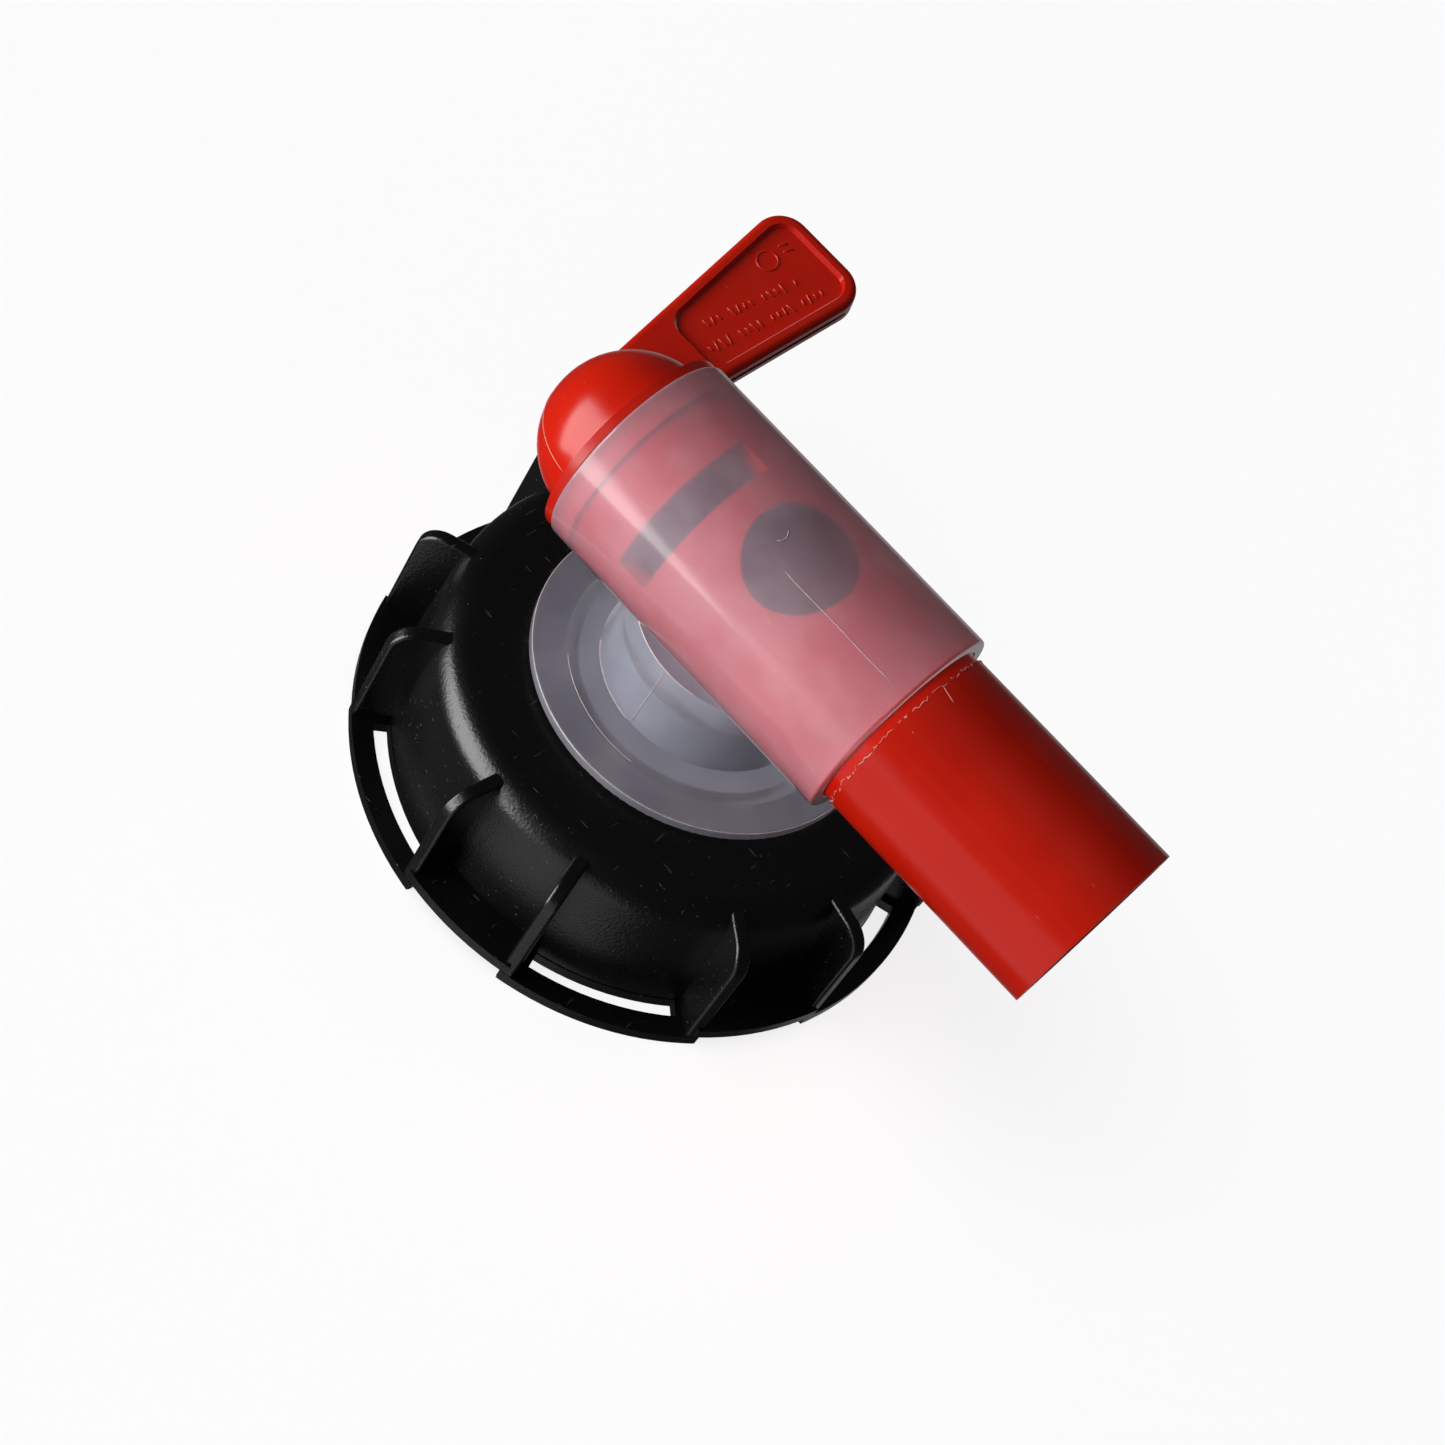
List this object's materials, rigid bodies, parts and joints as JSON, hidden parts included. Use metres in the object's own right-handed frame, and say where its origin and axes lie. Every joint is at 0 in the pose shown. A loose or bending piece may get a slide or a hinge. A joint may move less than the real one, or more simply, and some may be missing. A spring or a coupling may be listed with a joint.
{
  "type": "dispensing tap",
  "caption": "Self-venting plastic dispensing tap on a winged screw cap: a turning spout plug with a paddle handle in a translucent barrel.",
  "frame": {"origin": "centre of the screw cap's mouth, in the plane of its lower rim", "axes": "+Z along the cap's axis away from the container, +X along the barrel towards the spout, +Y towards the side the handle lies on when closed"},
  "size_m": [0.0926, 0.0782, 0.0536],
  "materials": {
    "cap_black": "black moulded polyethylene with a soft sheen",
    "gasket": "soft pale sealing ring",
    "body_natural": "natural translucent polyethylene, milky, glossy",
    "plug_red": "red moulded polyethylene with a satin gloss"
  },
  "bodies": {
    "cap": {"screw_cap": "cap_black", "cap_gasket": "gasket"},
    "tap_body": {"tap_body": "body_natural"},
    "plug": {"plug": "plug_red"}
  },
  "joints": [
    {"name": "body_swivel", "type": "hinge", "parent": "cap", "child": "tap_body", "pos_m": [0, 0, 0], "axis": [0, 0, 1], "continuous": true},
    {"name": "plug_turn", "type": "hinge", "parent": "tap_body", "child": "plug", "pos_m": [0, 0, 0.0401], "axis": [1, 0, 0], "range_deg": [-16, 164]}
  ]
}
